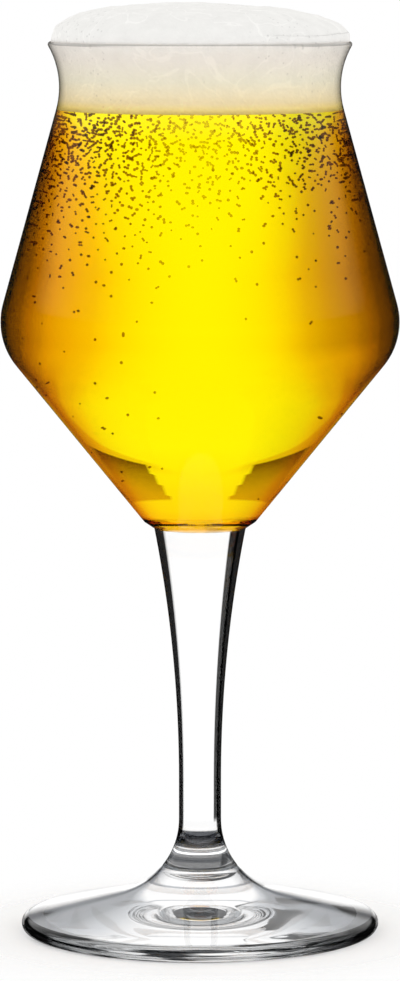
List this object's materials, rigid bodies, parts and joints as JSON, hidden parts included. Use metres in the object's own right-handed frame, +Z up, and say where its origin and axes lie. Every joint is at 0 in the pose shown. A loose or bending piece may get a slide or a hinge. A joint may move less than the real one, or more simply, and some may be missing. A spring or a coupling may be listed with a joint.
{
  "type": "stemmed beer glass",
  "caption": "Stemmed beer glass with a flared lip, a narrow neck, an angular belly and a waisted stem on a round foot, poured with golden beer under a head of foam.",
  "frame": {"origin": "on the table, under the middle of the foot", "axes": "+Z up along the axis of the glass; the glass is round, so X and Y are alike"},
  "size_m": [0.093, 0.093, 0.2181],
  "materials": {
    "clear_glass": "clear polished glass",
    "beer": "clear golden liquid",
    "foam": "matt fine-bubbled froth"
  },
  "bodies": {
    "root": {"bowl": "clear_glass", "stem": "clear_glass", "foot": "clear_glass", "beer": "beer", "foam_head": "foam"}
  },
  "joints": []
}
